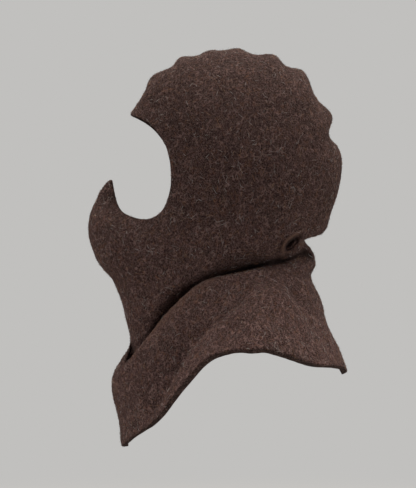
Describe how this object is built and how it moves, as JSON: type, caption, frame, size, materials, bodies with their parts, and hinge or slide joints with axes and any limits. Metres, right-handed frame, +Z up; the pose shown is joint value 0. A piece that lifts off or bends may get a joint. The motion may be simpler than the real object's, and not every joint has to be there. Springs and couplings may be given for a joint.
{
  "type": "medieval hood",
  "caption": "Closed hood of thick fulled wool with an oval face opening, a cover over chin and mouth and a short shoulder cape, shaped as worn.",
  "frame": {"origin": "top of the head, just under the crown's inner face, in the middle plane", "axes": "+Z up along the wearer, -Y the way the wearer faces, +X the wearer's left"},
  "size_m": [0.3194, 0.2718, 0.4152],
  "materials": {
    "fulled_wool": "matt, fuzzy dark brown wool with pale stray hairs",
    "turned_edge": "matt dark brown wool, pressed and turned under"
  },
  "bodies": {
    "root": {"panel_left": "fulled_wool", "panel_right": "fulled_wool", "face_hem": "turned_edge", "cape_hem": "turned_edge"}
  },
  "joints": []
}
